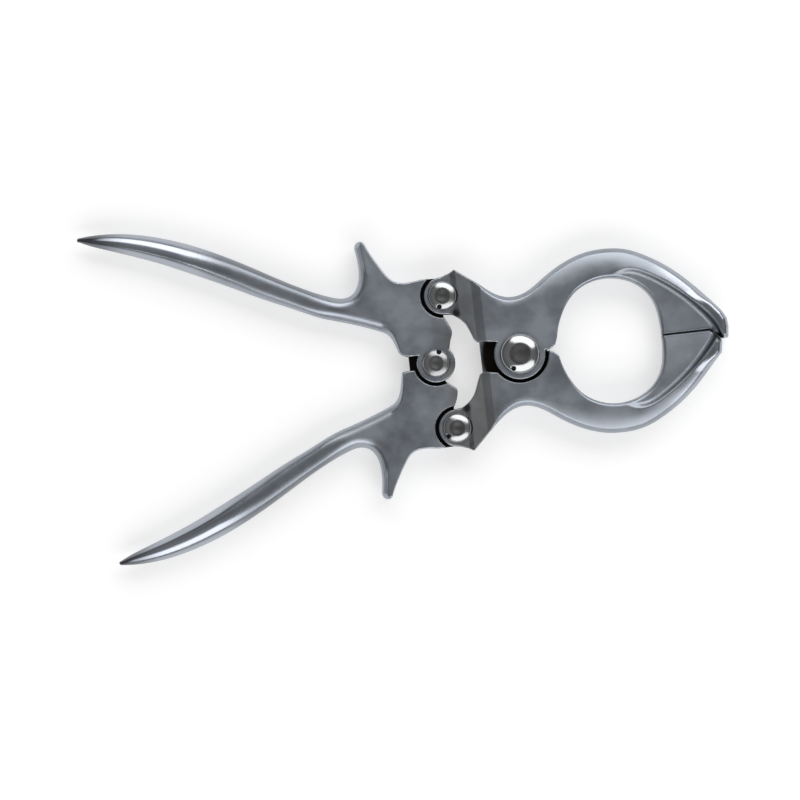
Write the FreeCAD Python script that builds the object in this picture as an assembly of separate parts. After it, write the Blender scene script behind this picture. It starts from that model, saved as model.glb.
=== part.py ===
import FreeCAD, Part
import math
import os

V = FreeCAD.Vector

# Clamp with compound levers, lying flat and closed. Millimetres. It is drawn about the jaws' pivot
# with +X to the nose and z = 0 in the middle plane, then moved so that it lies on z = 0.

# heights from the middle plane
tongue_half = 1.9
layer_gap = 0.1
slot_half = tongue_half + layer_gap
jaw_face = 6.0
tail_face = 4.8
link_ear_face = 4.0
handle_face = 4.6
web_half = 2.1
above = jaw_face + 4

# pivots, in plan
link_x = -25.5
link_y = 24.1
main_pivot = V(0, 0, 0)
handle_pivot = V(-30.5, 0, 0)
upper_link = V(link_x, link_y, 0)
lower_link = V(link_x, -link_y, 0)

# round ears, the recesses that they sit in, and the tongues between them
main_ear_r = 9.3
handle_ear_r = 7.0
link_ear_r = 6.8
recess_gap = 1.4
ear_bevel = 0.5
main_tongue_r = 10.0
link_tongue_r = 6.6
handle_tongue_r = 6.6
tongue_gap = 0.4
running_gap = 0.05
link_slot_x = link_x + link_tongue_r + tongue_gap

# roots that join the two central tongues to their plates, and the slots over them
jaw_root_x = (-14.0, -8.0)
jaw_root_y = (-8.0, 6.4)
jaw_slot_x = (-20.0, -3.5)
jaw_slot_y = (-20.0, 12.4)
handle_root_x = (-40.2, -35.0)
handle_root_y = (-2.5, 4.1)
handle_slot_x = (-41.4, -30.5)
handle_slot_y = (0.0, 5.4)
link_slot_y = (12.0, 45.0)
beyond_tail = -45.0

# the lower handle's tongue has this much more room round the handles' pin and in its slot
open_pivot_room = 1.1

# jaws: the ring and nose are laid out from the line on which the two edges meet
seam_y = 1.0
edge_gap = 0.05
seam_groove = 0.4
seam_end_x = 70.0
bore_x = 52.2
arm_round = 5.0
rim_round = 3.0
bore_round = 1.6
web_round = 3.0
pocket_round = 1.0

# the tail's two steps: where each ramp starts and ends
link_ramp = (-21.9, -20.1)
face_ramp = (-14.7, -11.7)

# handles: their edges are rounded more towards the grips
spur_round = 1.6
front_round = 1.0
root_round = 1.5
grip_root_x = -66.0
grip_end_x = -154.6
tip_r = 0.8
lower_grip_share = 0.978

# pins: each has a domed head in front, a lock peg in the head's edge and a slotted screw behind
head_rim = 0.7
crown_share = 0.45
dish = 0.35
main_head_inset = 2.0
handle_head_inset = 1.9
link_head_inset = 1.5
head_gap = 0.2
lock_r = 0.8
lock_gap = 0.05
lock_depth = 1.2
lock_stand = 0.9
lock_bevel = 0.2
screw_lip = 1.5
screw_share = 0.55
screw_reach = 4.0
screw_bevel = 0.3
slot_width = 1.2
slot_depth = 0.6
pins = {
    "main": dict(at=main_pivot, face=jaw_face, shank=4.2, head=main_ear_r - main_head_inset,
                 dome=2.2, screw=1.7, inset=1.5, angle=239),
    "handle": dict(at=handle_pivot, face=handle_face, shank=3.0,
                   head=handle_ear_r - handle_head_inset, dome=1.5, screw=1.3, inset=0.9, angle=70),
    "upper_link": dict(at=upper_link, face=link_ear_face, shank=3.0,
                       head=link_ear_r - link_head_inset, dome=1.5, screw=1.0, inset=1.1, angle=248),
    "lower_link": dict(at=lower_link, face=link_ear_face, shank=3.0,
                       head=link_ear_r - link_head_inset, dome=1.5, screw=1.0, inset=0.9, angle=216),
}

nose_x = 76.4
to_rest = V(-(nose_x + grip_end_x - tip_r) / 2, 0, jaw_face)

# jaw outlines: distance forward, then distance outward from the meeting line
arm_outer = [(-11.5, 25.5), (-6, 21.4), (0, 19.9), (5.5, 21.5), (12, 25.8), (20, 30.4), (28, 33.0),
             (35, 33.5), (42, 32.6), (50, 29.1)]
rim_outer = [(50, 29.1), (56, 25.3), (63, 19.4), (70.5, 11.3)]
bore_edge = [(bore_x, edge_gap), (51.8, 7.4), (50.4, 13.0), (47, 17.9), (42, 21.2), (35, 22.8), (28, 21.8),
             (21.5, 18.1), (17.3, 12.6), (14.9, 7.0), (14.0, 3.2)]
pocket_edge = [(30.5, 18.6), (36, 23.6), (43, 24.9), (49, 22.7), (55, 18.9), (61, 14.2),
               (67, 8.3), (71.3, 3.1), (73.2, -0.9), (74.1, -5.5)]
pocket_back = [(60, -8.0), (36.5, 11.6)]
upper_nose = [(70.5, 11.3), (74.7, 6.2), (76.1, 3.6), (76.4, 0.6), (75.9, -3.6), (73.8, -3.8),
              (seam_end_x + 0.1, edge_gap), (bore_x, edge_gap)]
lower_nose = [(70.5, 11.3), (72.9, 8.7), (73.5, 4.9), (73.3, 4.1), (seam_end_x, edge_gap),
              (bore_x, edge_gap)]

# the same round the pivots: distance outward from the pivots' line
upper_shoulder = [(13.0, 1.7), (10.6, 0.4), (7, 0.4), (-7, 5.0), (-9.4, 5.4), (-13.2, 6.0),
                  (-14.4, 5.8), (-15.7, 7.2)]
lower_shoulder = [(12.5, 0.7), (10.8, 0.0), (5, 0.0), (-5, 5.7), (-9.5, 5.7), (-13.3, 5.0),
                  (-14.9, 5.6), (-15.7, 7.2)]
tail_hollow = [(-15.7, 7.2), (-16.6, 9.6), (-17.9, 12.6), (-20.0, 15.2), (-22.6, 17.0)]
tail_corner = [(-22.3, 31.9), (-20.3, 33.1)]

# handle plates
plate_top = [(grip_root_x, 26.6), (-62, 27.0), (-58, 28.1), (-55.5, 31.4), (-54.7, 36),
             (-54.9, 41.5), (-55.4, 45.0)]
spur_r = 2.1
spur_front = [(-51.2, 45.0), (-49.9, 42.3), (-47.6, 38.1), (-45.2, 34.2), (-42.5, 31.3),
              (-39, 30.3), (-33, 30.8)]
plate_front = [(-25.9, 16.6), (-24.5, 13.8), (-23.5, 10.4), (-24.3, 7.9), (-24.8, 6.2)]
lower_front = [(-25.9, 16.6), (-24.4, 13.4), (-23.8, 10.5)]
upper_foot = [(-24.8, 6.2), (-25.4, 3.4), (-40.3, 3.4), (-42.5, 4.3), (-43.5, 5.2)]
lower_foot = [(-23.8, 10.5), (-24.4, 9.5), (-27.6, 7.0), (-30.5, 1.6), (-40.5, 1.6), (-43.2, 1.8),
              (-43.8, 5.2)]
plate_bottom = [(-44.6, 8.5), (-46.6, 12.2), (-50, 14.1), (-57, 16.9), (-62, 19),
                (grip_root_x, 21.6)]

# grip: distance forward, distance outward, half width and half depth of its oval section
grip = [(-60, 22.4, 4.3, 4.3), (-68, 24.7, 4.1, 4.5), (-78, 29.2, 4.1, 4.7), (-90, 35.3, 4.6, 4.9),
        (-102, 41.6, 4.9, 5.0), (-114, 47.3, 5.0, 4.9), (-125, 51.8, 4.6, 4.5),
        (-136, 55.3, 3.9, 3.9), (-146, 57.6, 2.7, 2.9), (-152, 58.7, 1.6, 1.8),
        (grip_end_x, 59.2, tip_r, tip_r)]


def spline(points):
    curve = Part.BSplineCurve()
    curve.interpolate(points)
    return curve.toShape()


def lines(points):
    return [Part.makeLine(a, b) for a, b in zip(points, points[1:])]


def slab(edges, low, high):
    face = Part.Face(Part.Wire(edges))
    face.translate(V(0, 0, low))
    return face.extrude(V(0, 0, high - low))


def disc(centre, radius, low, high):
    return Part.makeCylinder(radius, high - low, centre + V(0, 0, low))


def block(x0, x1, y0, y1, half):
    return Part.makeBox(x1 - x0, abs(y1 - y0), 2 * half, V(x0, min(y0, y1), -half))


def revolved(profile, centre):
    face = Part.Face(Part.makePolygon(profile + profile[:1]))
    turned = face.revolve(V(0, 0, 0), V(0, 0, 1), 360)
    turned.translate(centre)
    return turned


# a pair of ears starts as one disc through the full height with bevelled rims
def ears(centre, radius, half):
    flat = radius - ear_bevel
    low = half - ear_bevel
    return revolved([V(0, 0, -half), V(flat, 0, -half), V(radius, 0, -low), V(radius, 0, low),
                     V(flat, 0, half), V(0, 0, half)], centre)


def mirrored(tool):
    return tool.mirror(V(0, 0, 0), V(0, 0, 1))


def both_faces(tools):
    return tools + [mirrored(tool) for tool in tools]


def fuse(first, others):
    return first.fuse(others).removeSplitter()


def only_solid(shape):
    return shape.Solids[0]


def is_curve(edge):
    return edge.Curve.TypeId == "Part::GeomBSplineCurve"


def on_face(edge, height):
    box = edge.BoundBox
    return box.ZLength < 1e-6 and abs(abs(box.ZMax) - height) < 1e-6


# side is +1 for the upper half and -1 for the lower
def from_seam(side, points):
    return [V(x, seam_y + side * y, 0) for x, y in points]


def from_pivots(side, points):
    return [V(x, side * y, 0) for x, y in points]


def jaw_outline(side):
    arm = from_seam(side, arm_outer)
    nose = from_seam(side, upper_nose if side > 0 else lower_nose)
    inner = from_seam(side, bore_edge)
    shoulder = from_pivots(side, upper_shoulder if side > 0 else lower_shoulder)
    hollow = from_pivots(side, tail_hollow)
    ear_sides = from_pivots(side, [(link_x, link_y - link_ear_r), (link_x, link_y + link_ear_r)])
    corner = from_pivots(side, tail_corner)
    return ([spline(arm), spline(from_seam(side, rim_outer))] + lines(nose)
            + [spline(inner)] + lines([inner[-1]] + shoulder) + [spline(hollow)]
            + lines([hollow[-1]] + ear_sides + corner + [arm[0]]))


# rounds edges with a radius that may change along each: chosen lists (edge number, first, last)
def rounded(blank, chosen):
    doc = FreeCAD.newDocument()
    base = doc.addObject("Part::Feature")
    base.Shape = blank
    work = doc.addObject("Part::Fillet")
    work.Base = base
    work.Edges = chosen
    doc.recompute()
    shape = only_solid(work.Shape)
    FreeCAD.closeDocument(doc.Name)
    return shape


# the outer edge is rounded widely on the arm and less and less along the nose
def round_outer(blank):
    chosen = []
    for number, edge in enumerate(blank.Edges, 1):
        box = edge.BoundBox
        reach = max(abs(box.YMax), abs(box.YMin))
        if on_face(edge, jaw_face) and is_curve(edge) and box.XMax > 20 and reach > 26:
            end_r = arm_round if box.XMin < 0 else rim_round
            chosen.append((number, arm_round, end_r))
    return rounded(blank, chosen)


def round_bore(blank):
    edges = [e for e in blank.Edges if on_face(e, jaw_face) and is_curve(e)
             and e.BoundBox.XMin > main_tongue_r and e.BoundBox.XMax < bore_x + 1]
    return blank.makeFillet(bore_round, edges)


# the edge between the rim's face and the pocket's wall
def round_pocket(blank):
    edges = [e for e in blank.Edges if on_face(e, jaw_face) and is_curve(e)
             and e.BoundBox.XMin > pocket_edge[0][0] - 1 and e.BoundBox.XMax > seam_end_x + 1]
    return blank.makeFillet(pocket_round, edges)


# the thin clamping web between the nose's rim and the meeting edge, hollowed with a round foot
def pocket(side):
    edge = from_seam(side, pocket_edge)
    border = lines([edge[-1]] + from_seam(side, pocket_back) + [edge[0]])
    tool = slab([spline(edge)] + border, web_half, above)
    foot = [e for e in tool.Edges if on_face(e, web_half) and is_curve(e)]
    return tool.makeFillet(web_round, foot)


# half of this bar's square section lies below the web's face, where it leaves a v along the seam
def groove():
    side = seam_groove * math.sqrt(2)
    bar = Part.makeBox(seam_end_x - bore_x + 1, side, side, V(bore_x - 1, 0, 0))
    bar.rotate(V(0, 0, 0), V(1, 0, 0), 45)
    bar.translate(V(0, seam_y, web_half - seam_groove))
    return bar


def jaw_blank(side):
    blank = round_bore(slab(jaw_outline(side), -jaw_face, jaw_face))
    blank = only_solid(blank.cut(both_faces([pocket(side)])))
    blank = round_pocket(round_outer(blank))
    return only_solid(blank.cut(both_faces([groove()])))


# the tail steps down twice from the jaw's face to the ears
def tail_steps():
    profile = [V(beyond_tail, 0, link_ear_face), V(link_ramp[0], 0, link_ear_face),
               V(link_ramp[1], 0, tail_face), V(face_ramp[0], 0, tail_face),
               V(face_ramp[1], 0, jaw_face), V(face_ramp[1], 0, above), V(beyond_tail, 0, above)]
    face = Part.Face(Part.makePolygon(profile + profile[:1]))
    face.translate(V(0, beyond_tail, 0))
    return face.extrude(V(0, -2 * beyond_tail, 0))


def pin_ways(names):
    tools = []
    for name in names:
        p = pins[name]
        tools.append(disc(p["at"], p["shank"] + running_gap, -above, above))
        tools.append(disc(p["at"], p["shank"] + screw_lip + running_gap, -above,
                          p["screw"] - p["face"]))
        tools.append(disc(p["at"], p["head"] + head_gap, p["face"], above))
        tools.append(disc(lock_centre(p), lock_r, p["face"] - lock_depth, above))
    return tools


def upper_jaw():
    jaw = jaw_blank(1).cut(both_faces([tail_steps()]))
    jaw = fuse(jaw, [ears(main_pivot, main_ear_r, jaw_face),
                     ears(upper_link, link_ear_r, link_ear_face)])
    slots = [disc(main_pivot, main_tongue_r + tongue_gap, -slot_half, slot_half),
             block(*jaw_slot_x, *jaw_slot_y, slot_half),
             block(beyond_tail, link_slot_x, *link_slot_y, slot_half)]
    return jaw.cut(slots + pin_ways(["main", "upper_link"]))


def lower_jaw():
    jaw = jaw_blank(-1).cut(both_faces([tail_steps(), disc(main_pivot, main_ear_r + recess_gap,
                                                           tongue_half, above)]))
    jaw = fuse(jaw, [ears(lower_link, link_ear_r, link_ear_face),
                     disc(main_pivot, main_tongue_r, -tongue_half, tongue_half),
                     block(*jaw_root_x, *jaw_root_y, tongue_half)])
    slots = [block(beyond_tail, link_slot_x, -link_slot_y[0], -link_slot_y[1], slot_half),
             disc(main_pivot, pins["main"]["shank"] + running_gap, -above, above)]
    return jaw.cut(slots + pin_ways(["lower_link"]))


def plate_outline(side):
    top = from_pivots(side, plate_top)
    spur = from_pivots(side, spur_front)
    spur_end = (top[-1] + spur[0]) * 0.5 + V(0, side * spur_r, 0)
    front = from_pivots(side, plate_front if side > 0 else lower_front)
    foot = from_pivots(side, upper_foot if side > 0 else lower_foot)
    bottom = from_pivots(side, plate_bottom)
    ear_side = from_pivots(side, [(link_x, link_y + link_tongue_r), (link_x, link_y)])
    return ([spline(top), Part.Arc(top[-1], spur_end, spur[0]).toShape(), spline(spur)]
            + lines([spur[-1]] + ear_side + [front[0]]) + [spline(front)]
            + lines(foot) + [spline([foot[-1]] + bottom)] + lines([bottom[-1], top[0]]))


# a smooth skin through oval sections; reach draws out or shortens the whole bar
def grip_bar(side, reach):
    sections = []
    for number, (x, y, half_width, half_depth) in enumerate(grip):
        before = grip[max(number - 1, 0)]
        after = grip[min(number + 1, len(grip) - 1)]
        slope = math.degrees(math.atan2(before[1] - after[1], before[0] - after[0]))
        oval = FreeCAD.Matrix()
        oval.scale(half_width, half_depth, 1)
        ring = Part.makeCircle(1).transformGeometry(oval)
        ring.rotate(V(0, 0, 0), V(1, 0, 0), 90)
        ring.rotate(V(0, 0, 0), V(0, 0, 1), 90 + side * slope)
        ring.translate(V(grip[0][0] + (x - grip[0][0]) * reach, side * y, 0))
        sections.append(Part.Wire(ring))
    return Part.makeLoft(sections, True)


# the edges that the fingers meet are rounded more than the front ones
def round_plate(plate):
    chosen = []
    for number, edge in enumerate(plate.Edges, 1):
        box = edge.BoundBox
        if not on_face(edge, handle_face) or box.XMax > -30 or edge.Curve.TypeId == "Part::GeomLine":
            continue
        first, last = spur_round, spur_round
        if box.XMin < grip_root_x + 1:
            at_spur = box.XMax < plate_bottom[0][0] - spur_r
            first, last = (root_round, spur_round) if at_spur else (front_round, root_round)
        elif is_curve(edge):
            last = front_round
        chosen.append((number, first, last))
    return rounded(plate, chosen)


def handle_blank(side):
    plate = round_plate(slab(plate_outline(side), -handle_face, handle_face))
    reach = 1 if side > 0 else lower_grip_share
    bar = grip_bar(side, reach)
    tip_x = grip[0][0] + (grip_end_x - grip[0][0]) * reach
    tip = Part.makeSphere(tip_r, V(tip_x, side * grip[-1][1], 0))
    return fuse(plate, [bar, tip])


def upper_handle():
    handle = fuse(handle_blank(1), [ears(handle_pivot, handle_ear_r, handle_face)])
    handle = handle.cut(both_faces([disc(upper_link, link_ear_r + recess_gap, tongue_half, above)]))
    handle = fuse(handle, [disc(upper_link, link_tongue_r, -tongue_half, tongue_half)])
    slot_r = handle_tongue_r + tongue_gap + open_pivot_room
    slots = [disc(handle_pivot, slot_r, -slot_half, slot_half),
             block(*handle_slot_x, *handle_slot_y, slot_half),
             disc(upper_link, pins["upper_link"]["shank"] + running_gap, -above, above)]
    return handle.cut(slots + pin_ways(["handle"]))


def lower_handle():
    handle = handle_blank(-1)
    handle = handle.cut(both_faces([disc(lower_link, link_ear_r + recess_gap, tongue_half, above),
                                    disc(handle_pivot, handle_ear_r + recess_gap, tongue_half,
                                         above)]))
    handle = fuse(handle, [disc(lower_link, link_tongue_r, -tongue_half, tongue_half),
                           disc(handle_pivot, handle_tongue_r, -tongue_half, tongue_half),
                           block(*handle_root_x, *handle_root_y, tongue_half)])
    holes = [disc(lower_link, pins["lower_link"]["shank"] + running_gap, -above, above),
             disc(handle_pivot, pins["handle"]["shank"] + open_pivot_room, -above, above)]
    return handle.cut(holes)


def lock_centre(p):
    angle = math.radians(p["angle"])
    out = p["head"] - p["inset"]
    return p["at"] + V(out * math.cos(angle), out * math.sin(angle), 0)


# an arc of the pin head's profile that is level at its inner end, from (r0, z0) out to (r1, z1)
def level_arc(r0, z0, r1, z1):
    across = r1 - r0
    drop = z0 - z1
    radius = (across ** 2 + drop ** 2) / (2 * drop)
    lean = math.asin(across / radius) / 2
    middle = V(r0 + radius * math.sin(lean), 0, z0 - radius * (1 - math.cos(lean)))
    return Part.Arc(V(r1, 0, z1), middle, V(r0, 0, z0)).toShape()


# shank, domed head with a shallow dish and the lock hole in its edge, and a bore for the screw
def pin(p):
    top = p["face"] + head_rim
    foot = p["screw"] - p["face"]
    high = top + p["dome"]
    crown_r = p["head"] * crown_share
    side = [V(0, 0, high - dish), V(0, 0, foot), V(p["shank"], 0, foot),
            V(p["shank"], 0, p["face"]), V(p["head"], 0, p["face"]), V(p["head"], 0, top)]
    edges = lines(side) + [level_arc(crown_r, high, p["head"], top),
                           level_arc(0, high - dish, crown_r, high)]
    body = Part.Face(Part.Wire(edges)).revolve(V(0, 0, 0), V(0, 0, 1), 360)
    body.translate(p["at"])
    bore_r = p["shank"] * screw_share
    return body.cut([disc(p["at"], bore_r, foot - 1, foot + screw_reach + 1),
                     disc(lock_centre(p), lock_r, p["face"] - 1, above)])


def screw(p):
    low = -p["face"]
    head_r = p["shank"] + screw_lip
    stem_r = p["shank"] * screw_share - running_gap
    step = low + p["screw"]
    body = revolved([V(0, 0, low), V(head_r - screw_bevel, 0, low),
                     V(head_r, 0, low + screw_bevel), V(head_r, 0, step), V(stem_r, 0, step),
                     V(stem_r, 0, step + screw_reach), V(0, 0, step + screw_reach)], V(0, 0, 0))
    slot = Part.makeBox(2 * above, slot_width, slot_depth, V(-above, -slot_width / 2, low))
    slot.rotate(V(0, 0, 0), V(0, 0, 1), p["angle"] / 3)
    body = body.cut(slot)
    body.translate(p["at"])
    return body


def lock_pin(p):
    radius = lock_r - lock_gap
    low = p["face"] - lock_depth
    high = p["face"] + lock_stand
    body = revolved([V(0, 0, low), V(radius, 0, low), V(radius, 0, high - lock_bevel),
                     V(radius - lock_bevel, 0, high), V(0, 0, high)], V(0, 0, 0))
    body.translate(lock_centre(p))
    return body


def all_parts():
    made = {"upper_jaw": upper_jaw(), "lower_jaw": lower_jaw(), "upper_handle": upper_handle(),
            "lower_handle": lower_handle()}
    for name, p in pins.items():
        made[name + "_pin"] = pin(p)
        made[name + "_screw"] = screw(p)
        made[name + "_lock"] = lock_pin(p)
    return made


if __name__ == "__main__":
    os.makedirs("parts", exist_ok=True)
    for name, shape in all_parts().items():
        shape = only_solid(shape)
        shape.translate(to_rest)
        shape.exportStep("parts/" + name + ".step")
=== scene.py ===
import math
import bpy
import numpy as np
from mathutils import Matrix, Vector


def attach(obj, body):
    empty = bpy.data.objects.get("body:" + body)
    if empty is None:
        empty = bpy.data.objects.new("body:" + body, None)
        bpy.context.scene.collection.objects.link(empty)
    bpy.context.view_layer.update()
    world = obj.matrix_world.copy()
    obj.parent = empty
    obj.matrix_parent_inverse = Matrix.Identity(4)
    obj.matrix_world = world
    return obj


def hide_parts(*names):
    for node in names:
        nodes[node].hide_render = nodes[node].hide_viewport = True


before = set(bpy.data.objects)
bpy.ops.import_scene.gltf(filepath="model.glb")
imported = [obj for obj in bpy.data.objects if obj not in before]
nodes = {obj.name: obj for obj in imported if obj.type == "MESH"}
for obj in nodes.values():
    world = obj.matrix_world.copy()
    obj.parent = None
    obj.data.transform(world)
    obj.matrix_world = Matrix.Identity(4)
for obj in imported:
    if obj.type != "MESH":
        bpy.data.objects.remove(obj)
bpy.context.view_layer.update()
print("stage: frame loaded,", len(nodes), "nodes")


# sRGB hex to the linear colour that a socket wants: each part over 12.92 when dark, otherwise raised to 2.4
def linear(hexColour):
    parts = [int(hexColour[i:i + 2], 16) / 255 for i in (1, 3, 5)]
    return [p / 12.92 if p <= 0.04045 else ((p + 0.055) / 1.055) ** 2.4 for p in parts] + [1]


# adds one node with its settings, its sockets' values and what feeds its sockets
def addNode(tree, kind, settings=None, values=None, links=None):
    made = tree.nodes.new(kind)
    for name, value in (settings or {}).items():
        setattr(made, name, value)
    for socket, value in (values or {}).items():
        made.inputs[socket].default_value = value
    for socket, source in (links or {}).items():
        tree.links.new(source, made.inputs[socket])
    return made


# a new material and its empty node tree
def newTree(name):
    material = bpy.data.materials.new(name)
    material.use_nodes = True
    material.node_tree.nodes.clear()
    return material, material.node_tree


# plated or bright steel: cloudy satin ground, lighter and smoother where it is polished, the lighter colour
# partly a painted highlight; brown where age has got to it; black as painted shade in hollows, slots and
# seams, partly dirt; with fine grinding lines
def metal(name, look):
    material, tree = newTree(name)
    place = addNode(tree, "ShaderNodeTexCoord")
    polish, dirt, warm = (addNode(tree, "ShaderNodeAttribute", {"attribute_name": mark}).outputs["Fac"]
                          for mark in ("polish", "dirt", "warm"))
    cloud = addNode(tree, "ShaderNodeTexNoise", {},
                    {"Scale": look["cloudScale"], "Detail": 5, "Roughness": 0.6},
                    {"Vector": place.outputs["Object"]})
    patches = addNode(tree, "ShaderNodeMapRange", {}, {"From Min": 0.35, "From Max": 0.65},
                      {"Value": cloud.outputs["Fac"]})
    ground = addNode(tree, "ShaderNodeMix", {"data_type": "RGBA"},
                     {6: linear(look["dark"]), 7: linear(look["light"])}, {0: patches.outputs[0]})
    # lighter where polished; on the rims and the pins' crowns this lighter colour is a painted highlight
    bright = addNode(tree, "ShaderNodeMix", {"data_type": "RGBA"}, {7: linear(look["bright"])},
                     {0: polish, 6: ground.outputs[2]})
    aged = addNode(tree, "ShaderNodeMix", {"data_type": "RGBA"}, {7: linear(look["brown"])},
                   {0: warm, 6: bright.outputs[2]})
    # black mixed in as painted shade, partly dirt
    soiledAndShaded = addNode(tree, "ShaderNodeMix", {"data_type": "RGBA"}, {7: linear(look["black"])},
                      {0: dirt, 6: aged.outputs[2]})
    turned = addNode(tree, "ShaderNodeMapping", {}, {"Rotation": (0, 0, look["grainTurn"]),
                                                    "Scale": (1, look["grainStretch"], 1)},
                     {"Vector": place.outputs["Object"]})
    grain = addNode(tree, "ShaderNodeTexNoise", {}, {"Scale": look["grainScale"], "Detail": 3},
                    {"Vector": turned.outputs["Vector"]})
    smooth = addNode(tree, "ShaderNodeMapRange", {}, {"To Min": look["satin"], "To Max": look["polished"]},
                     {"Value": polish})
    uneven = addNode(tree, "ShaderNodeMapRange", {}, {"To Min": 0.85, "To Max": 1.15},
                     {"Value": patches.outputs[0]})
    rough = addNode(tree, "ShaderNodeMath", {"operation": "MULTIPLY"}, {},
                    {0: smooth.outputs[0], 1: uneven.outputs[0]})
    bump = addNode(tree, "ShaderNodeBump", {}, {"Strength": look["grainDepth"], "Distance": 0.0001},
                   {"Height": grain.outputs["Fac"]})
    shader = addNode(tree, "ShaderNodeBsdfPrincipled", {}, {"Metallic": 1},
                     {"Base Color": soiledAndShaded.outputs[2], "Roughness": rough.outputs[0],
                      "Normal": bump.outputs[0]})
    addNode(tree, "ShaderNodeOutputMaterial", {}, {}, {"Surface": shader.outputs[0]})
    return material


# drop forged, ground and plated: soft grey with faint clouds and long lines, near mirror and lighter where
# rubbed, and on the rims' outer slopes a lighter colour that is a painted highlight; black as painted
# shade, partly dirt
forged = {"dark": "#8f959d", "light": "#a3a9b1", "bright": "#afb4bd", "brown": "#85827d",
          "black": "#1b1816", "cloudScale": 70, "grainTurn": 0.11,
          "grainStretch": 12, "grainScale": 400, "grainDepth": 0.04,
          "polished": 0.12, "satin": 0.4}
# turned on a lathe and buffed: a crown made bright as a painted highlight, and a grey dish made dark as
# painted shade
turned = {"dark": "#808285", "light": "#929598", "bright": "#b9bcbf", "brown": "#85827d",
          "black": "#1b1816", "cloudScale": 200, "grainTurn": 0,
          "grainStretch": 1, "grainScale": 900, "grainDepth": 0.08,
          "polished": 0.16, "satin": 0.4}
# turned and slotted screws: plain bright steel
slotted = {"dark": "#85888c", "light": "#a8abaf", "bright": "#b9bcbf", "brown": "#85827d",
           "black": "#1b1816", "cloudScale": 200, "grainTurn": 0,
           "grainStretch": 1, "grainScale": 900, "grainDepth": 0.15,
           "polished": 0.2, "satin": 0.32}
# drawn wire with a dull finish, coloured nearly black: dark dots in the pins' heads
peg = {"dark": "#2d2d30", "light": "#48484c", "bright": "#5a5a5e", "brown": "#4a4540",
       "black": "#1b1816", "cloudScale": 500, "grainTurn": 0,
       "grainStretch": 1, "grainScale": 900, "grainDepth": 0.15,
       "polished": 0.3, "satin": 0.42}
finishes = {
    "jaw": metal("platedForgedSteel", forged),
    "pin": metal("turnedPinSteel", turned),
    "screw": metal("slottedScrewSteel", slotted),
    "lock": metal("drawnPegSteel", peg),
}
for name, node in nodes.items():
    kind = "jaw" if name.endswith(("jaw", "handle")) else name.rsplit("_", 1)[1]
    node.data.materials.clear()
    node.data.materials.append(finishes[kind])
print("stage: materials on the nodes")

# The pieces are worked out in millimetres about the jaws' pivot, with x to the nose and z = 0 in the
# middle plane, and moved into the frame when the mesh is made.
pivotInFrame = (39.5, 0.0, 6.0)
# half thicknesses
level = dict(tongue=1.9, slot=2.0, jaw=6.0, linkEar=4.0, handle=4.6, web=2.1)
# radii round the joints, and the rounding of the edges there
ear = dict(main=9.3, handle=7.0, link=6.8, bevel=0.5, mainRecess=10.4, handleRecess=8.1, linkRecess=7.9,
           mainTongue=10.0, linkTongue=6.6, handleTongue=6.6, mainSlot=10.4, handleSlot=8.1, openBore=4.1,
           tongueEdge=0.3, slotEdge=0.25, holeEdge=0.15, seatEdge=0.1, screwSeat=1.5)
joint = dict(main=(0.0, 0.0), handle=(-30.5, 0.0), upperLink=(-25.5, 24.1), lowerLink=(-25.5, -24.1))
# face height, shank's radius, head's radius, how deep the screw's head sits
pinWay = dict(
    main=(6.0, 4.25, 7.5, 1.7), handle=(4.6, 3.05, 5.3, 1.3), upperLink=(4.0, 3.05, 5.5, 1.0),
    lowerLink=(4.0, 3.05, 5.5, 1.0))
forgingCell = 0.4


# natural cubic through the points, with the chord length as its parameter: second derivatives that make
# neighbouring stretches meet with one slope, and none at the two ends
def smoothCurve(points, spacing=0.25):
    points = np.array(points, float)
    chord = np.linalg.norm(np.diff(points, axis=0), axis=1)
    t = np.r_[0, np.cumsum(chord)]
    count = len(t)
    system = np.eye(count)
    right = np.zeros_like(points)
    for i in range(1, count - 1):
        system[i, i - 1:i + 2] = chord[i - 1], 2 * (chord[i - 1] + chord[i]), chord[i]
        right[i] = 6 * ((points[i + 1] - points[i]) / chord[i] - (points[i] - points[i - 1]) / chord[i - 1])
    bend = np.linalg.solve(system, right)
    s = np.linspace(0, t[-1], max(int(t[-1] / spacing), 2) + 1)
    i = np.clip(np.searchsorted(t, s, "right") - 1, 0, count - 2)
    h, a, b = chord[i][:, None], (t[i + 1] - s)[:, None], (s - t[i])[:, None]
    return (bend[i] * a ** 3 + bend[i + 1] * b ** 3) / (6 * h) \
        + (points[i] / h - bend[i] * h / 6) * a + (points[i + 1] / h - bend[i + 1] * h / 6) * b


# a closed outline at even spacing, its corners softened by a bell-shaped average along it
def closedOutline(parts, spacing=0.25, soften=0.3):
    line = np.concatenate([np.array(p, float) for p in parts])
    line = np.vstack([line, line[:1]])
    t = np.r_[0, np.cumsum(np.linalg.norm(np.diff(line, axis=0), axis=1))]
    s = np.linspace(0, t[-1], int(t[-1] / spacing), endpoint=False)
    line = np.stack([np.interp(s, t, line[:, 0]), np.interp(s, t, line[:, 1])], 1)
    wave = np.fft.rfftfreq(len(line), spacing)[:, None]
    bell = np.exp(-2 * (math.pi * soften * wave) ** 2)
    line = np.fft.irfft(np.fft.rfft(line, axis=0) * bell, len(line), axis=0)
    turns = np.sum(line[:, 0] * np.roll(line[:, 1], -1) - line[:, 1] * np.roll(line[:, 0], -1))
    return line if turns > 0 else line[::-1]


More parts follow.
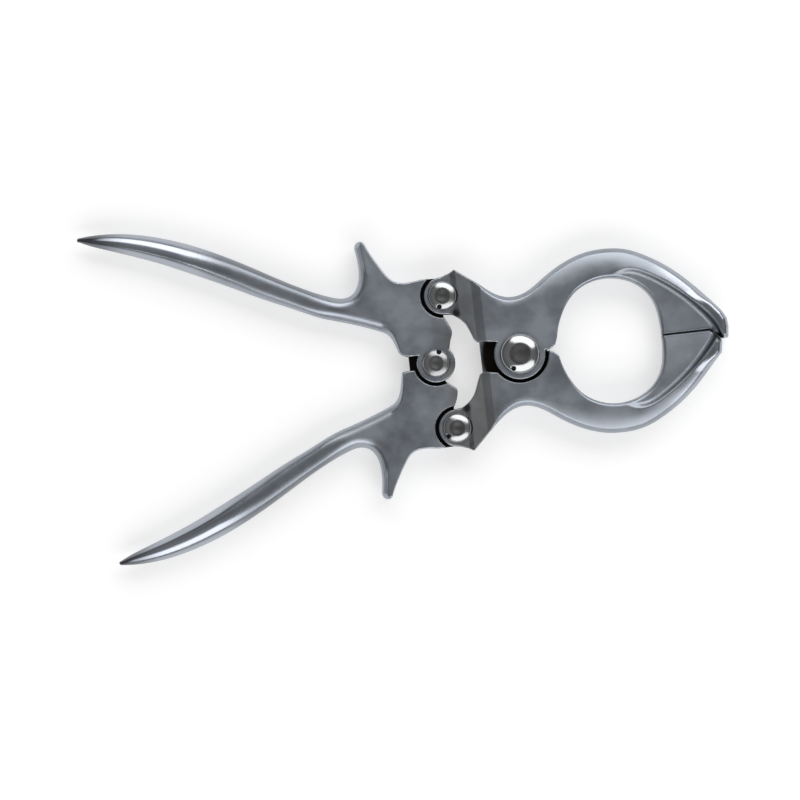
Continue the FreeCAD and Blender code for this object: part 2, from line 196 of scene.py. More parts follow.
# distance from points to the nearest stretch of an outline, negative on the outline's left, inside
def outlineDistance(line, x, y, reach=24):
    shape = np.broadcast(x, y).shape
    x, y = (np.broadcast_to(v, shape).ravel() for v in (x, y))
    x = np.clip(x, line[:, 0].min() - reach / 2, line[:, 0].max() + reach / 2)
    ends = np.roll(line, -1, axis=0)
    order = np.argsort(x, kind="stable")
    result = np.empty(len(x))
    for rows in np.array_split(order, max(len(x) // 1500, 1)):
        near = (line[:, 0] > x[rows].min() - reach) & (line[:, 0] < x[rows].max() + reach)
        a, d = line[near], (ends - line)[near]
        px, py = x[rows][:, None] - a[:, 0], y[rows][:, None] - a[:, 1]
        along = np.clip((px * d[:, 0] + py * d[:, 1]) / (d ** 2).sum(1), 0, 1)
        far = (px - along * d[:, 0]) ** 2 + (py - along * d[:, 1]) ** 2
        best = far.argmin(1)
        pick = np.arange(len(rows))
        side = d[best, 0] * py[pick, best] - d[best, 1] * px[pick, best]
        result[rows] = np.where(side > 0, -1, 1) * np.sqrt(far[pick, best])
    return result.reshape(shape)


# the outline's distance kept on a plan grid and read back between its points by cubics
def distanceField(line, box, spacing=0.25):
    xs = np.arange(box[0], box[1] + spacing, spacing)
    ys = np.arange(box[2], box[3] + spacing, spacing)
    kept = outlineDistance(line, xs[:, None], ys[None, :])

    # the four cubic weights of a point that lies the share f of the way between two grid points
    def weights(f):
        return [((-f + 2) * f - 1) * f / 2, ((3 * f - 5) * f * f + 2) / 2, ((-3 * f + 4) * f + 1) * f / 2,
                (f - 1) * f * f / 2]

    def read(x, y):
        x, y = np.broadcast_arrays(x, y)
        u = np.clip((x - xs[0]) / spacing, 1, len(xs) - 2.01)
        v = np.clip((y - ys[0]) / spacing, 1, len(ys) - 2.01)
        i = np.clip(np.floor(u).astype(int), 1, len(xs) - 3)
        j = np.clip(np.floor(v).astype(int), 1, len(ys) - 3)
        wu, wv = weights(u - i), weights(v - j)
        return sum(wu[a] * wv[b] * kept[i + a - 1, j + b - 1] for a in range(4) for b in range(4))

    return read


# value at x on the straight lines between the rows' pairs
def table(rows, x):
    rows = sorted(rows)
    return np.interp(x, [r[0] for r in rows], [r[1] for r in rows])


# 0 before start, 1 after end, and three times the square less twice the cube of the way between them
def ramp(x, start, end):
    t = np.clip((x - start) / (end - start), 0, 1)
    return t * t * (3 - 2 * t)


# what two solids share: the larger distance, or within r of both faces the distance from an arc of radius r
def meet(a, b, r):
    return np.minimum(-r, np.maximum(a, b)) + np.hypot(np.maximum(a + r, 0), np.maximum(b + r, 0))


# the solid without the tool: what it shares with the tool's outside
def cut(solid, tool, r=0.35):
    return meet(solid, -tool, r)


# distance from the centre less the radius
def disc(x, y, centre, radius):
    return np.hypot(x - centre[0], y - centre[1]) - radius


# how far a point is past the nearest pair of a rectangle's sides, the larger of the two ways
def rectangle(x, y, x0, x1, y0, y1):
    return np.maximum(np.abs(x - (x0 + x1) / 2) - (x1 - x0) / 2,
                      np.abs(y - (y0 + y1) / 2) - abs(y1 - y0) / 2)


# shank holes right through, the seat under the pin's head in front, the seat of the screw's head behind
def pinCuts(solid, x, y, z, names, ownPin=True):
    for name in names:
        face, shank, head, sunk = pinWay[name]
        solid = cut(solid, disc(x, y, joint[name], shank), ear["holeEdge"])
        if ownPin:
            headSeat = np.maximum(disc(x, y, joint[name], head), face - z)
            screwSeat = np.maximum(disc(x, y, joint[name], shank + ear["screwSeat"]), z + face - sunk)
            solid = cut(cut(solid, headSeat, ear["seatEdge"]), screwSeat, ear["holeEdge"])
    return solid


# points given for the upper half, on the side asked for, their y counted from the given height
def onSide(points, side, start=0.0):
    return [(x, start + side * y) for x, y in points]


ring = dict(
    seamY=1.0,
    arm=[(-11.5, 25.5), (-6, 21.4), (0, 19.9), (5.5, 21.5), (12, 25.8), (20, 30.4), (28, 33.0),
         (35, 33.5), (42, 32.6), (50, 29.1), (56, 25.3), (63, 19.4), (70.5, 11.3)],
    bore=[(52.2, 0.015), (51.8, 7.4), (50.4, 13.0), (47, 17.9), (42, 21.2), (35, 22.8), (28, 21.8),
          (21.5, 18.1), (17.3, 12.6), (14.9, 7.0), (14.0, 3.2)],
    pocket=[(30.5, 18.6), (36, 23.6), (43, 24.9), (49, 22.7), (55, 18.9), (61, 14.2), (67, 8.3),
            (71.3, 3.1), (73.2, -0.9), (74.1, -5.5)],
    upperNose=[(74.7, 6.2), (76.1, 3.6), (76.4, 0.6), (75.9, -3.6), (73.8, -3.8), (70.1, 0.015)],
    lowerNose=[(72.9, 8.7), (73.5, 4.9), (73.3, 4.1), (70.0, 0.015)],
    upperShoulder=[(13.0, 1.7), (10.6, 0.4), (7, 0.4), (-7, 5.0), (-9.4, 5.4), (-13.2, 6.0), (-14.4, 5.8)],
    lowerShoulder=[(12.5, 0.7), (10.8, 0.0), (5, 0.0), (-5, 5.7), (-9.5, 5.7), (-13.3, 5.0), (-14.9, 5.6)],
    hollow=[(-15.7, 7.2), (-16.6, 9.6), (-17.9, 12.6), (-20.0, 15.2), (-22.6, 17.0)],
    corner=[(-25.5, 17.3), (-25.5, 30.9), (-22.3, 31.9), (-20.3, 33.1)],
    heights=[(-60, 4.0), (-21.9, 4.0), (-20.1, 4.8), (-14.7, 4.8), (-11.7, 6.0), (90, 6.0)],
    armRound=[(-14, 0.4), (-10, 1.6), (-2, 1.9), (42, 2.0), (60, 2.4)],
    plainRound=0.4,
    pocketBack=[(74.3, -14), (46, -14), (28, 4)],
    crown=2.1, rimCrown=1.9, crownWidth=9.0, shoulderWidth=4.0,
    boreRound=1.1, boreEdge=0.25, pocketRound=0.9,
    webRound=1.6, webLean=0.2, webRise=0.16, webReach=14.0, webEnd=2.4,
    groove=0.4, grooveMiddle=60, grooveHalf=9.5)


# a jaw: the outline's wall meets a crowned top, where the crown sinks by the square of the nearness to the
# outline; the pocket, the bore and the slots are taken out, the ears and the tongue added
def jawShape(side):
    upper = side > 0
    seamY = ring["seamY"]
    seam = onSide(ring["bore"], side, seamY)
    nose = onSide(ring["upperNose"] if upper else ring["lowerNose"], side, seamY)
    shoulder = onSide(ring["upperShoulder"] if upper else ring["lowerShoulder"], side)
    body = closedOutline([smoothCurve(onSide(ring["arm"], side, seamY) + nose[:1]), nose,
                          [seam[0], seam[-1]], shoulder, smoothCurve(onSide(ring["hollow"], side)),
                          onSide(ring["corner"], side)])
    beyond = [(seam[-1][0], seam[-1][1] - side * 9), (seam[0][0], seam[0][1] - side * 9)]
    bore = closedOutline([smoothCurve(seam), beyond])
    pocket = closedOutline([smoothCurve(onSide(ring["pocket"], side, seamY)),
                            onSide(ring["pocketBack"], side, seamY)])
    box = (-36, 80, -16, 40) if upper else (-36, 80, -38, 16)
    bodyAt, boreAt, pocketAt = (distanceField(line, box) for line in (body, bore, pocket))
    own = "upperLink" if upper else "lowerLink"

    def solid(x, y, z):
        out, height = np.abs(y - seamY), np.abs(z)
        wall = bodyAt(x, y)
        top = table(ring["heights"], x)
        away = np.maximum(ramp(np.abs(y), 8, 16), ramp(x, 20, 40))
        edge = ring["plainRound"] + (table(ring["armRound"], x) - ring["plainRound"]) * away
        onArm = ramp(x, -12, -2) * ramp(out, 9, 15)
        crown = ring["crown"] + (ring["rimCrown"] - ring["crown"]) * ramp(x, 44, 58)
        across = ring["shoulderWidth"] + (ring["crownWidth"] - ring["shoulderWidth"]) * ramp(x, 4, 24)
        sink = crown * across / ring["crownWidth"] * np.clip(1 + wall / across, 0, 1) ** 2 * onArm
        f = meet(wall, height - top + sink, edge)
        lean = ring["webLean"]
        foot = (pocketAt(x, y) + lean * (level["jaw"] - height)) / math.hypot(1, lean)
        slant = ring["webReach"] * np.tanh(np.maximum(out - 1, 0) / ring["webReach"])
        floor = level["web"] + ring["webRise"] * slant + ring["webEnd"] * ramp(x, 46, 32)
        f = cut(f, meet(foot, floor - height, ring["webRound"]), ring["pocketRound"])
        boreEdge = ring["boreEdge"] + ring["boreRound"] * ramp(out, -0.5, 2.5) * ramp(x, 14, 24)
        f = cut(f, boreAt(x, y), boreEdge)
        groove = (out + level["web"] - height - ring["groove"]) * math.sqrt(0.5)
        f = cut(f, np.maximum(groove, np.abs(x - ring["grooveMiddle"]) - ring["grooveHalf"]), 0.1)
        if not upper:
            f = cut(f, np.maximum(disc(x, y, joint["main"], ear["mainRecess"]), level["tongue"] - height))
        linkEar = disc(x, y, joint[own], ear["link"])
        f = np.minimum(f, meet(linkEar, height - level["linkEar"], ear["bevel"]))
        slot = rectangle(x, y, -45, -18.5, side * 12, side * 45)
        if upper:
            mainEar = disc(x, y, joint["main"], ear["main"])
            f = np.minimum(f, meet(mainEar, height - level["jaw"], ear["bevel"]))
            mainSlot = disc(x, y, joint["main"], ear["mainSlot"])
            slot = np.minimum(np.minimum(mainSlot, rectangle(x, y, -20, -3.5, -20, 12.4)), slot)
        else:
            tongue = disc(x, y, joint["main"], ear["mainTongue"])
            tongue = np.minimum(tongue, rectangle(x, y, -14, -8, -8, 6.4))
            f = np.minimum(f, meet(tongue, height - level["tongue"], ear["tongueEdge"]))
        f = cut(f, np.maximum(slot, height - level["slot"]), ear["slotEdge"])
        return pinCuts(pinCuts(f, x, y, z, [own]), x, y, z, ["main"], upper)

    return solid, ((-34, -12, -6.6), (78, 36, 6.6)) if upper else ((-34.1, -35.1, -6.6), (76, 12, 6.6))


plate = dict(
    spurBack=[(-61.5, 27.3), (-58, 28.3), (-55.6, 31.6), (-54.7, 36), (-54.9, 41.5), (-55.4, 45.0)],
    spurTip=[(-55.0, 46.2), (-54.2, 46.9), (-53.3, 47.1), (-52.4, 46.9), (-51.6, 46.2)],
    spurFront=[(-51.2, 45.0), (-49.9, 42.3), (-47.6, 38.1), (-45.2, 34.2), (-42.5, 31.3), (-39, 30.3),
               (-33, 30.8)],
    earSide=[(-25.5, 30.7), (-25.5, 24.1)],
    upperFront=[(-25.9, 16.6), (-24.5, 13.8), (-23.5, 10.4), (-24.3, 7.9), (-24.8, 6.2)],
    lowerFront=[(-25.9, 16.6), (-24.4, 13.4), (-23.8, 10.5)],
    upperFoot=[(-25.4, 3.4), (-40.3, 3.4), (-42.5, 4.3)],
    lowerFoot=[(-24.4, 9.5), (-27.6, 7.0), (-30.5, 1.6), (-40.5, 1.6), (-43.2, 1.8)],
    upperHeel=[(-43.5, 5.2)], lowerHeel=[(-43.8, 5.2)],
    underside=[(-44.6, 8.5), (-46.6, 12.2), (-50, 14.1), (-57, 16.8)],
    spurMiddle=[(12, -44.5), (17, -46), (25, -47.5), (31, -50), (36, -51.2), (47.1, -53.3)],
    backRound=4.0, frontRound=0.5, rootRound=4.3,
    blend=(-62, -76), rootEnd=-84)
# the stations are the distance forward, the distance outward, the oval's half width and its half depth
grip = dict(
    stations=[(-56, 21.4, 4.1, 4.6), (-60, 22.4, 4.1, 4.6), (-68, 24.7, 4.15, 4.65), (-78, 29.2, 4.1, 4.75),
              (-90, 35.3, 4.6, 4.9), (-102, 41.6, 4.9, 5.0), (-114, 47.3, 5.0, 4.9), (-125, 51.8, 4.6, 4.5),
              (-136, 55.3, 3.9, 3.9), (-146, 57.6, 2.67, 2.9), (-151.5, 58.6, 1.6, 1.8),
              (-154.6, 59.2, 0.75, 0.8)],
    lean=[(-155, 0.35), (-116, 0.3), (-100, 0.06), (-80, 0)],
    innerPower=[(-155, 1.5), (-115, 1.6), (-95, 2.4), (-76, 2.8)],
    outerPower=[(-115, 2.0), (-95, 2.6), (-76, 2.8)],
    end=-155.3, endRound=0.7, root=-60, lowerShare=0.978)
gripCurves = {}


# the grip's middle, half width and half depth at x on smooth curves through the stations, and the middle's
# slope; share shortens the grip
def gripAt(x, share):
    if share not in gripCurves:
        rows = np.array(grip["stations"])
        beyond = rows[:, 0] - grip["root"]
        rows[:, 0] = grip["root"] + beyond * np.where(beyond < 0, share, 1)
        fine = [smoothCurve(rows[:, [0, column]], 0.5)[::-1] for column in (1, 2, 3)]
        slope = np.gradient(fine[0][:, 1], fine[0][:, 0])
        gripCurves[share] = fine, slope
    fine, slope = gripCurves[share]
    values = [np.interp(x, f[:, 0], f[:, 1]) for f in fine]
    return values + [np.interp(x, fine[0][:, 0], slope)]


# a handle: a rounded plate whose distance passes over, by a ramp along x, into that of the grip's oval,
# which is the root of the sum of the same power of two shares, of its half width and half depth, less one
def handleShape(side):
    upper = side > 0
    share = 1.0 if upper else grip["lowerShare"]
    rootX = np.arange(plate["rootEnd"], -64, 3.0)
    middle, width, depth, slope = gripAt(rootX, share)
    reach = width * np.hypot(1, slope)
    back = [tuple(p) for p in np.stack([rootX, middle + reach], 1)] + plate["spurBack"]
    heel = plate["upperHeel"] if upper else plate["lowerHeel"]
    under = heel + plate["underside"] + [tuple(p) for p in np.stack([rootX, middle - reach], 1)[::-1]]
    front = plate["upperFront"] if upper else plate["lowerFront"]
    foot = plate["upperFoot"] if upper else plate["lowerFoot"]
    parts = [smoothCurve(back), plate["spurTip"], smoothCurve(plate["spurFront"]), plate["earSide"],
             smoothCurve(front), foot, smoothCurve(under)]
    body = closedOutline([onSide(part, side) for part in parts])
    bodyAt = distanceField(body, (-90, -14, -12, 52) if upper else (-90, -14, -52, 12))
    own = "upperLink" if upper else "lowerLink"

    def solid(x, y, z):
        height = np.abs(z)
        middle, width, depth, slope = gripAt(x, share)
        across = (side * y - middle) / np.hypot(1, slope)
        ridge = -table(grip["lean"], x) * width
        inner = across < ridge
        half = np.where(inner, width + ridge, width - ridge)
        power = np.where(inner, table(grip["innerPower"], x), table(grip["outerPower"], x))
        oval = (np.abs((across - ridge) / half) ** power + np.abs(z / depth) ** power) ** (1 / power)
        oval = (oval - 1) * np.minimum(width, depth)
        endX = grip["root"] + (grip["end"] - grip["root"]) * share
        oval = meet(oval, endX - x, grip["endRound"])
        wall = bodyAt(np.maximum(x, -89), y)
        fade = table([(12, 4.0), (24, 1.5)], side * y)
        behind = ramp((x - table(plate["spurMiddle"], side * y)) / fade, 1, -1)
        edge = plate["frontRound"] + (plate["backRound"] - plate["frontRound"]) * behind
        edge = edge + (plate["rootRound"] - edge) * ramp(x, -58, -70)
        flat = meet(wall, height - level["handle"], edge)
        f = flat + (oval - flat) * ramp(x, *plate["blend"])
        f = cut(f, np.maximum(disc(x, y, joint[own], ear["linkRecess"]), level["tongue"] - height))
        tongue = disc(x, y, joint[own], ear["linkTongue"])
        if upper:
            handleEar = disc(x, y, joint["handle"], ear["handle"])
            f = np.minimum(f, meet(handleEar, height - level["handle"], ear["bevel"]))
            slot = disc(x, y, joint["handle"], ear["handleSlot"])
            slot = np.minimum(slot, rectangle(x, y, -41.4, -30.5, 0, 5.4))
            f = cut(f, np.maximum(slot, height - level["slot"]), ear["slotEdge"])
        else:
            recess = disc(x, y, joint["handle"], ear["handleRecess"])
            f = cut(f, np.maximum(recess, level["tongue"] - height))
            tongue = np.minimum(tongue, disc(x, y, joint["handle"], ear["handleTongue"]))
            tongue = np.minimum(tongue, rectangle(x, y, -40.2, -35, -2.5, 4.1))
        f = np.minimum(f, meet(tongue, height - level["tongue"], ear["tongueEdge"]))
        f = pinCuts(f, x, y, z, [own], False)
        if upper:
            return pinCuts(f, x, y, z, ["handle"])
        return cut(f, disc(x, y, joint["handle"], ear["openBore"]), ear["holeEdge"])

    return solid, ((-157, -9, -5.6), (-17, 62, 5.6)) if upper else ((-155, -62, -5.6), (-17, 9, 5.6))


# Radii of the head and places of the lock's peg, and which way it lies; notch is half the width of the gap
# that opens the peg's hole to the rim, and below zero there is none; cell is the mesh's step.
pin = dict(
    main=dict(head=7.3, dome=2.2, shine=1.0, notch=-1.0, lockOut=5.8, lockAngle=239, cell=0.25,
              body="upper_jaw", node="main_pin"),
    handle=dict(head=5.1, dome=1.5, shine=0.5, notch=0.4, lockOut=4.2, lockAngle=70, cell=0.25,
                body="upper_handle", node="handle_pin"),
    upperLink=dict(head=5.3, dome=1.5, shine=0.85, notch=0.4, lockOut=4.2, lockAngle=248, cell=0.2,
                   body="upper_jaw", node="upper_link_pin"),
    lowerLink=dict(head=5.3, dome=1.5, shine=0.9, notch=0.4, lockOut=4.4, lockAngle=216, cell=0.2,
                   body="lower_jaw", node="lower_link_pin"))
crowned = dict(share=0.5, rise=0.7, dish=0.35, round=0.4, early=0.66, bend=0.14, late=0.34, steep=0.8)


# a pin: shank, head whose top falls outside the crown by the square over the way plus a little, and by its
# eighth power at the rim, with a shallow dish inside, the peg's hole and the screw's bore
def pinShape(name):
    p = pin[name]
    at, face, shank, _, sunk = joint[name], *pinWay[name]
    crown, top = p["head"] * crowned["share"], face + crowned["rise"]
    turn = math.radians(p["lockAngle"])
    lock = (at[0] + p["lockOut"] * math.cos(turn), at[1] + p["lockOut"] * math.sin(turn))

    def solid(x, y, z):
        rho = disc(x, y, at, 0)
        t = np.clip((rho - crown) / (p["head"] - crown), 0, 1.1)
        dish = crowned["dish"] * np.clip(1 - (rho / crown) ** 2, 0, 1) ** 2
        fall = crowned["early"] * t ** 2 / (t + crowned["bend"]) + crowned["late"] * t ** 8
        above = z - top - p["dome"] * (1 - fall) + dish
        f = meet(rho - p["head"], above * crowned["steep"], crowned["round"])
        f = meet(f, face + 0.02 - z, 0.1)
        f = np.minimum(f, meet(rho - shank + 0.05, np.maximum(sunk - face - z, z - top), 0.1))
        along = (x - at[0]) * math.cos(turn) + (y - at[1]) * math.sin(turn)
        beside = np.abs((y - at[1]) * math.cos(turn) - (x - at[0]) * math.sin(turn))
        hole = np.minimum(disc(x, y, lock, 0.8), np.maximum(beside - p["notch"], p["lockOut"] - along))
        f = cut(f, np.maximum(hole, face - 0.5 - z), ear["holeEdge"])
        return cut(f, np.maximum(rho - (shank - 0.05) * 0.55, z - sunk + face - 4), 0.1)

    reach = p["head"] + 0.8
    return solid, ((at[0] - reach, at[1] - reach, sunk - face - 0.7),
                   (at[0] + reach, at[1] + reach, top + p["dome"] + 0.7))


# outward direction of a shape's function, from differences over a small step
def slopeOf(shape, p, step=0.03):
    slope = np.empty_like(p)
    for axis in range(3):
        shift = np.zeros(3)
        shift[axis] = step
        slope[:, axis] = shape(*(p + shift).T) - shape(*(p - shift).T)
    return slope / (2 * step)


# moves points against the slope by the function's value over the slope's square, never far in one go
def ontoSurface(shape, p, rounds, longest):
    for _ in range(rounds):
        slope = slopeOf(shape, p)
        steep = np.maximum((slope ** 2).sum(1), 0.05)
        move = -slope * (shape(*p.T) / steep)[:, None]
        size = np.linalg.norm(move, axis=1)[:, None]
        p = p + move * np.minimum(1, longest / np.maximum(size, 1e-9))
    return p


# the surface on which a shape's function is zero: one corner in each cell that it crosses, one four-sided
# face round each grid edge that it crosses, then the corners are evened out and drawn onto the surface
def surfaceOf(shape, low, high, step):
    axes = [np.arange(a, b + step, step) for a, b in zip(low, high)]
    inside = shape(*np.ix_(*axes)) < 0
    cells = [len(a) - 1 for a in axes]
    corners = sum(inside[i:i + cells[0], j:j + cells[1], k:k + cells[2]].astype(np.int8)
                  for i in (0, 1) for j in (0, 1) for k in (0, 1))
    crossed = (corners > 0) & (corners < 8)
    number = np.full(crossed.shape, -1)
    number[crossed] = np.arange(crossed.sum())
    points = np.array(low) + (np.argwhere(crossed) + 0.5) * step
    faces = []
    for axis in range(3):
        first = np.take(inside, range(cells[axis]), axis)
        change = np.argwhere(first != np.take(inside, range(1, cells[axis] + 1), axis))
        b, c = (axis + 1) % 3, (axis + 2) % 3
        ringOf = []
        for db, dc in ((-1, -1), (0, -1), (0, 0), (-1, 0)):
            cell = change.copy()
            cell[:, b] += db
            cell[:, c] += dc
            ringOf.append(number[tuple(cell.T)])
        quad = np.stack(ringOf, 1)
        outward = first[tuple(change.T)]
        faces.append(np.where(outward[:, None], quad, quad[:, ::-1]))
    faces = np.concatenate(faces)
    points = ontoSurface(shape, points, 4, step)
    pairs = np.concatenate([faces[:, [i, (i + 1) % 4]] for i in range(4)])
    share = np.bincount(pairs[:, 0], minlength=len(points))[:, None]
    for _ in range(4):
        total = [np.bincount(pairs[:, 0], points[pairs[:, 1], i], len(points)) for i in range(3)]
        mean = np.stack(total, 1) / share
        points = ontoSurface(shape, points + 0.5 * (mean - points), 1, step)
    points = ontoSurface(shape, points, 1, step)
    slope = slopeOf(shape, points, 0.06)
    return points, faces, slope / np.maximum(np.linalg.norm(slope, axis=1), 1e-6)[:, None]


# where the surface is darkened, how far it is polished and where it has gone brown, each from 0 to 1: the
# largest of several ramps, each by the distance from a place or by how far the face is turned. The
# darkening is mostly painted shade in recesses, slots, seams, pocket walls and outer flanks, partly dirt;
# the polish makes the colour lighter, and on the rims that is a painted highlight
def forgingMarks(points, facing):
    x, y, z = points.T
    height, out, upright = np.abs(z), np.abs(y - ring["seamY"]), np.abs(facing[:, 2])
    near = np.min([disc(x, y, joint[name], reach) for name, reach in
                   (("main", 13), ("handle", 11), ("upperLink", 10), ("lowerLink", 10))], 0)
    # painted shade, with some oil and dirt: darker on the low faces of the tongues and slots near the
    # joints
    dirt = ramp(height, 3.6, 2.0) * ramp(near, 2, 0)
    # painted shade along the seam between the jaws' webs
    dirt = np.maximum(dirt, ramp(out, 1.3, 0.3) * ramp(x, 50, 53) * ramp(x, 73, 70) * 0.65)
    inward = -facing[:, 1] * np.sign(y - ring["seamY"])
    # painted shade on the pocket walls that face inward: the dark line under the rim
    pocketWall = ramp(inward, 0.3, 0.7) * ramp(x, 42, 54) * ramp(height, 2.0, 2.4) * (out < 26)
    dirt = np.maximum(dirt, pocketWall * 0.5)
    # painted shade: dark spots where the tails' slots open beside the links' ears
    dirt = np.maximum(dirt, ramp(np.hypot(x + 21.5, np.abs(y) - 17.2), 2.4, 0.8) * 0.8)
    # painted shade on the lower jaw's nose, under the upper jaw's lip
    lowerNose = ramp(np.hypot(x - 72.2, y + 2.2), 2.6, 0.8) * (y < 1) * (x < 73.4)
    dirt = np.maximum(dirt, lowerNose * 0.5)
    # darker towards the grips' tips
    dirt = np.maximum(dirt, ramp(x, -135, -150) * 0.6)
    # painted shade on the grips' outward flanks, dimming their reflection of the pale floor
    outerFlank = ramp(facing[:, 1] * np.sign(y), 0.1, 0.3) * ramp(x, -116, -100) * ramp(x, -64, -76)
    dirt = np.maximum(dirt, outerFlank * 0.35)
    # painted shade on the walls round the ears' recesses
    seat = np.min([np.abs(disc(x, y, joint[name], reach)) for name, reach in
                   (("main", ear["mainRecess"]), ("handle", ear["handleRecess"]),
                    ("upperLink", ear["linkRecess"]), ("lowerLink", ear["linkRecess"]))], 0)
    dirt = np.maximum(dirt, ramp(seat, 0.8, 0.3) * ramp(upright, 0.97, 0.85) * 0.6)
    edge = ramp(upright, 0.985, 0.9) * (1 - ramp(inward, 0, 0.2) * ramp(x, 30, 40))
    gripPolish = ramp(x, -56, -68) * (0.15 + 0.6 * ramp(x, -98, -118))
    polish = np.maximum(gripPolish, edge * np.where(x > -15, 0.12, 0.3))
    # lighter and smoother on the rims' outer slopes: polish, and a painted highlight along the lamp's
    # streak
    rim = ramp(x, 48, 58) * ramp(height, 2.6, 4.0) * (1 - ramp(inward, 0, 0.2))
    polish = np.maximum(polish, rim * 0.6)
    warm = ramp(x, -8, -16) * ramp(x, -31, -24) * np.where(y > 0, 0.35, 0.6)
    return dict(dirt=dirt, polish=polish, warm=warm)


# a pin's marks by the share of the head's radius: a dish darkened as painted shade, and a polished crown
# whose lighter colour is a painted highlight
def pinMarks(name):
    def marks(points, facing):
        rho = disc(points[:, 0], points[:, 1], joint[name], 0) / pin[name]["head"]
        # painted shade in the dish, and polish with a painted highlight on the crown
        return dict(dirt=0.5 * ramp(rho, 0.62, 0.46), polish=pin[name]["shine"] * ramp(rho, 0.45, 0.6),
                    warm=np.full(len(rho), 0.3))

    return marks


# meshes a shape, moves it from the pivot into the frame in metres, marks it and says what it rides on
def steelPiece(name, body, node, shape, box, step, marks, finish):
    points, faces, facing = surfaceOf(shape, box[0], box[1], step)
    mesh = bpy.data.meshes.new(name)
    mesh.from_pydata((points + np.array(pivotInFrame)) / 1000, [], faces)
    mesh.shade_smooth()
    mesh.normals_split_custom_set_from_vertices(facing)
    for mark, values in marks(points, facing).items():
        mesh.attributes.new(mark, "FLOAT", "POINT").data.foreach_set("value", values.astype(np.float32))
    mesh.materials.append(finishes[finish])
    piece = bpy.data.objects.new(name, mesh)
    bpy.context.collection.objects.link(piece)
    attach(piece, body)
    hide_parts(node)
    print("stage:", name, len(points), "points")


for name, body, make, side in (("upperJaw", "upper_jaw", jawShape, 1),
                               ("lowerJaw", "lower_jaw", jawShape, -1),
                               ("upperHandle", "upper_handle", handleShape, 1),
                               ("lowerHandle", "lower_handle", handleShape, -1)):
    shape, box = make(side)
    steelPiece(name + "Forging", body, body, shape, box, forgingCell, forgingMarks, "jaw")
for name, p in pin.items():
    shape, box = pinShape(name)
    steelPiece(name + "DomedPin", p["body"], p["node"], shape, box, p["cell"], pinMarks(name),
               "pin")


# a matt floor that keeps its shadows, and glows only for what the camera sees
def makeStage():
    material, tree = newTree("paleFloor")
    path = addNode(tree, "ShaderNodeLightPath")
    seen = addNode(tree, "ShaderNodeMath", {"operation": "MAXIMUM"}, {},
                   {0: path.outputs["Is Camera Ray"], 1: path.outputs["Is Glossy Ray"]})
    seen = addNode(tree, "ShaderNodeMath", {"operation": "MAXIMUM"}, {},
                   {0: seen.outputs[0], 1: path.outputs["Is Transmission Ray"]})
    glow = addNode(tree, "ShaderNodeMath", {"operation": "MULTIPLY"}, {1: 0.5}, {0: seen.outputs[0]})
    matt = addNode(tree, "ShaderNodeBsdfDiffuse", {}, {"Color": (0.65, 0.65, 0.65, 1)})
    light = addNode(tree, "ShaderNodeEmission", {}, {}, {"Strength": glow.outputs[0]})
    both = addNode(tree, "ShaderNodeAddShader", {}, {}, {0: matt.outputs[0], 1: light.outputs[0]})
    addNode(tree, "ShaderNodeOutputMaterial", {}, {}, {"Surface": both.outputs[0]})
    half = 4.0
    mesh = bpy.data.meshes.new("floor")
    mesh.from_pydata([(-half, -half, 0), (half, -half, 0), (half, half, 0), (-half, half, 0)], [],
                     [(0, 1, 2, 3)])
    mesh.materials.append(material)
    floor = bpy.data.objects.new("floor", mesh)
    bpy.context.collection.objects.link(floor)


makeStage()

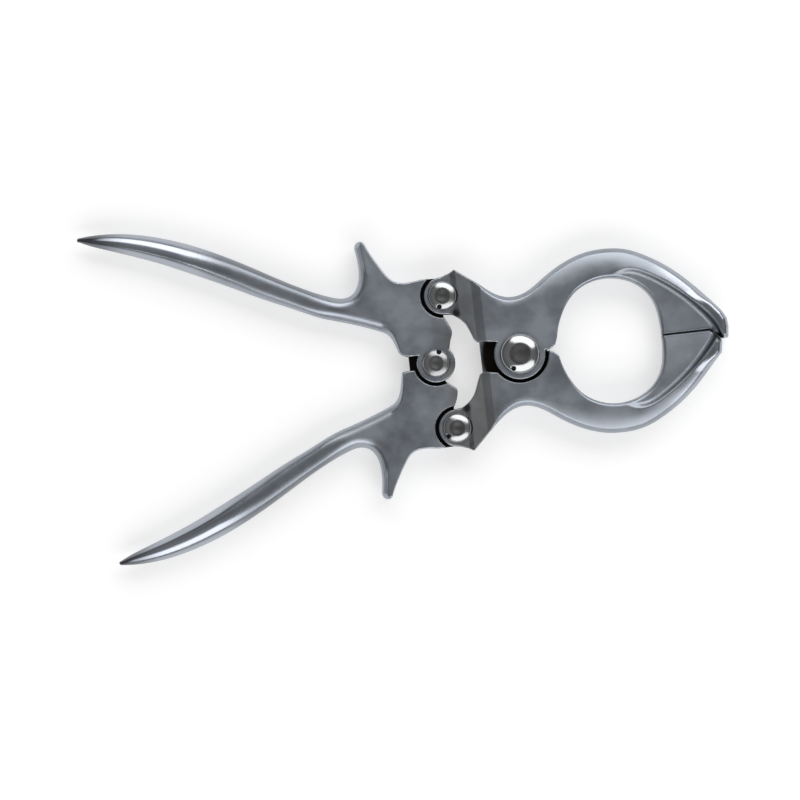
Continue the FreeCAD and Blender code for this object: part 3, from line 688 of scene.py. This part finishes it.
# the room: pale at the horizon, a darker band above it and mid grey overhead
room = dict(horizon=0.85, band=0.12, overhead=0.3, zenith=0.18)
world = bpy.data.worlds.new("room")
bpy.context.scene.world = world
world.use_nodes = True
tree = world.node_tree
tree.nodes.clear()
place = addNode(tree, "ShaderNodeTexCoord")
direction = addNode(tree, "ShaderNodeSeparateXYZ", {}, {}, {0: place.outputs["Generated"]})
falls = addNode(tree, "ShaderNodeMapRange", {"interpolation_type": "SMOOTHSTEP"},
                {"From Min": 0.2, "From Max": 0.36, "To Min": room["horizon"], "To Max": room["band"]},
                {"Value": direction.outputs[2]})
rises = addNode(tree, "ShaderNodeMapRange", {"interpolation_type": "SMOOTHSTEP"},
                {"From Min": 0.5, "From Max": 0.95, "To Min": 0, "To Max": room["overhead"] - room["band"]},
                {"Value": direction.outputs[2]})
sides = addNode(tree, "ShaderNodeMath", {"operation": "ADD"}, {},
                {0: falls.outputs[0], 1: rises.outputs[0]})
centre = addNode(tree, "ShaderNodeMapRange", {"interpolation_type": "SMOOTHSTEP"},
                 {"From Min": 0.95, "From Max": 1.0,
                  "To Min": 0, "To Max": room["overhead"] - room["zenith"]},
                 {"Value": direction.outputs[2]})
sky = addNode(tree, "ShaderNodeMath", {"operation": "SUBTRACT"}, {},
              {0: sides.outputs[0], 1: centre.outputs[0]})
back = addNode(tree, "ShaderNodeBackground", {}, {"Strength": 1}, {"Color": sky.outputs[0]})
addNode(tree, "ShaderNodeOutputWorld", {}, {}, {"Surface": back.outputs[0]})

# two strip lamps above the floor, one to each side of the tool
target = Vector((-0.0055, -0.0117, 0.006))
turn = math.radians(6.5)
lamps = {
    "above": dict(side=(0.3, 1.0), height=0.95, size=(1.9, 0.8), power=11.8),
    "below": dict(side=(0.3, -1.0), height=0.95, size=(1.9, 0.8), power=10.2),
}
for name, lamp in lamps.items():
    data = bpy.data.lights.new(name, "AREA")
    data.shape = "RECTANGLE"
    data.size, data.size_y = lamp["size"]
    data.energy = lamp["power"]
    made = bpy.data.objects.new(name, data)
    across, up = lamp["side"]
    made.location = target + Vector((across * math.cos(turn) + up * math.sin(turn),
                                     up * math.cos(turn) - across * math.sin(turn), lamp["height"]))
    made.rotation_euler = (target - made.location).to_track_quat("-Z", "Y").to_euler()
    bpy.context.collection.objects.link(made)

# camera: straight above, with the tool's axis turned in the picture
view = dict(turn=turn, distance=1.0, width=0.2911, sensor=36.0)
data = bpy.data.cameras.new("photo")
data.sensor_width = view["sensor"]
data.lens = view["sensor"] * view["distance"] / view["width"]
data.clip_start = 0.05
camera = bpy.data.objects.new("photo", data)
camera.location = target + Vector((0, 0, view["distance"]))
camera.rotation_euler = (0, 0, -view["turn"])
bpy.context.collection.objects.link(camera)
bpy.context.scene.camera = camera
bpy.context.scene.view_settings.view_transform = "Standard"
print("stage: floor, light and camera")
